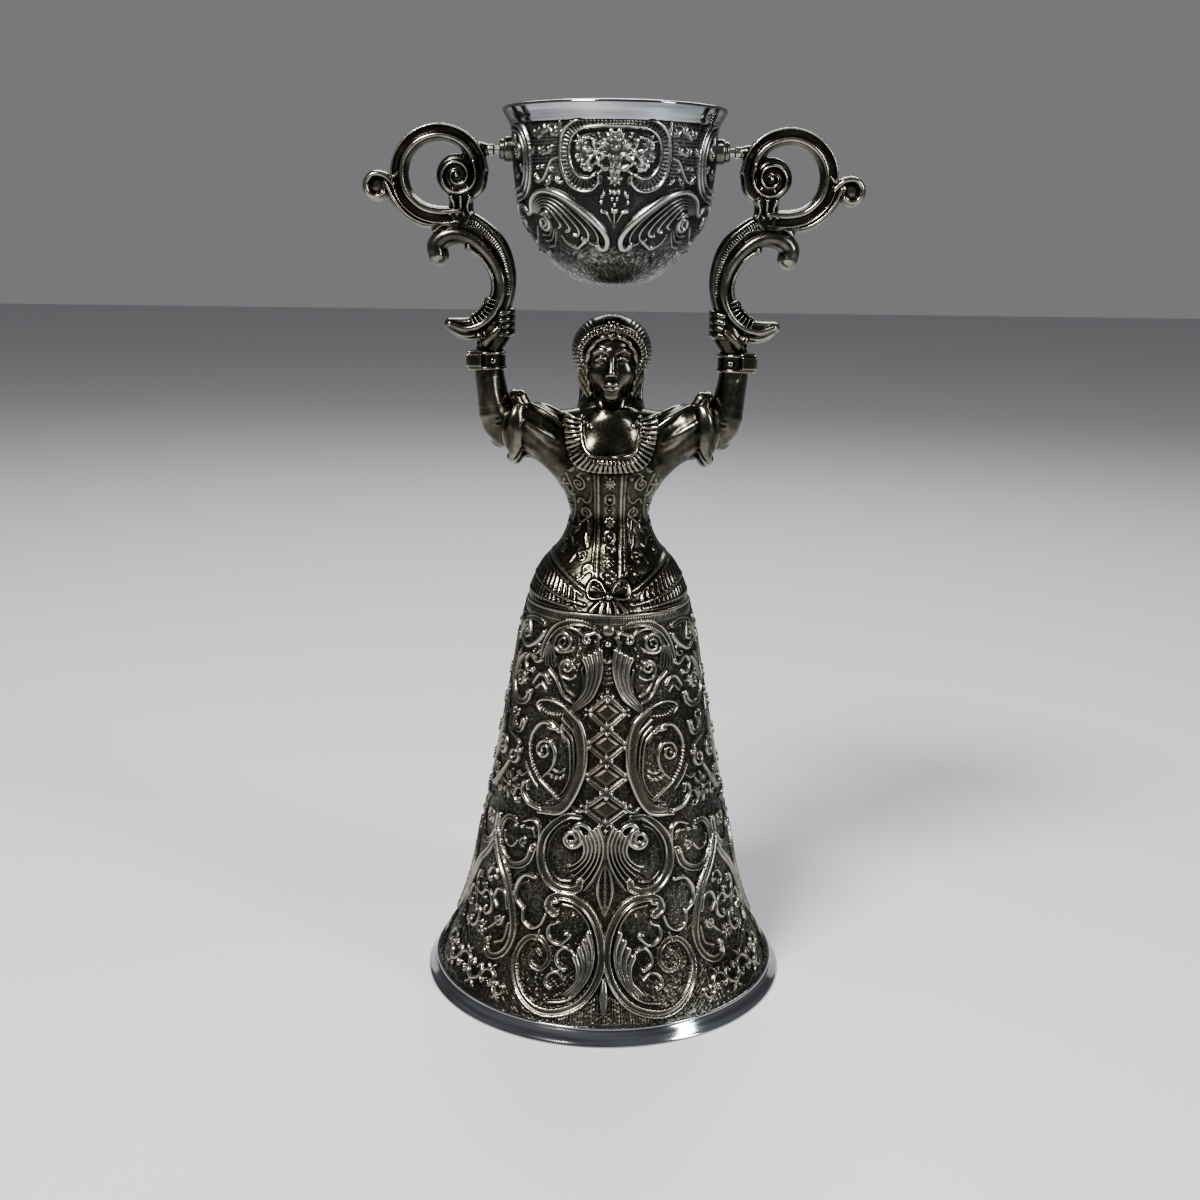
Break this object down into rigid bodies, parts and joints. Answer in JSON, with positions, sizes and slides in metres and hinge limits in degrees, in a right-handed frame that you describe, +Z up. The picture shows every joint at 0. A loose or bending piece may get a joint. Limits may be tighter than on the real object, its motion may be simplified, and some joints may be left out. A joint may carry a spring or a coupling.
{
  "type": "wedding cup",
  "caption": "Figural wedding cup: a woman's hollow skirt is a cup when turned over, and her raised arms hold scrolls between which a small cup swings.",
  "frame": {"origin": "centre of the foot's flat rest plane", "axes": "+Z up through the figure, -Y the figure's front, +X the figure's left hand, on the viewer's right"},
  "size_m": [0.1308, 0.103, 0.24],
  "materials": {
    "antique_silver": "antiqued cast relief",
    "figure_silver": "antiqued cast figure",
    "scroll_silver": "antiqued cast scrolls, bright on the edges",
    "polished_silver": "mirror polished",
    "pivot_steel": "satin",
    "fastener_steel": "zinc plated"
  },
  "bodies": {
    "figure": {"skirt_shell": "antique_silver", "skirt_liner": "polished_silver", "waist_stud": "fastener_steel", "waist_washer": "fastener_steel", "waist_nut": "fastener_steel", "bodice": "figure_silver", "head": "figure_silver", "left_arm": "figure_silver", "right_arm": "figure_silver", "left_scroll": "scroll_silver", "right_scroll": "scroll_silver", "left_pivot_pin": "pivot_steel", "right_pivot_pin": "pivot_steel"},
    "swing_cup": {"cup_shell": "antique_silver", "cup_liner": "polished_silver", "left_boss": "scroll_silver", "right_boss": "scroll_silver"}
  },
  "joints": [
    {"name": "cup_swing", "type": "hinge", "parent": "figure", "child": "swing_cup", "pos_m": [0, 0, 0.2295], "axis": [1, 0, 0], "continuous": true}
  ]
}
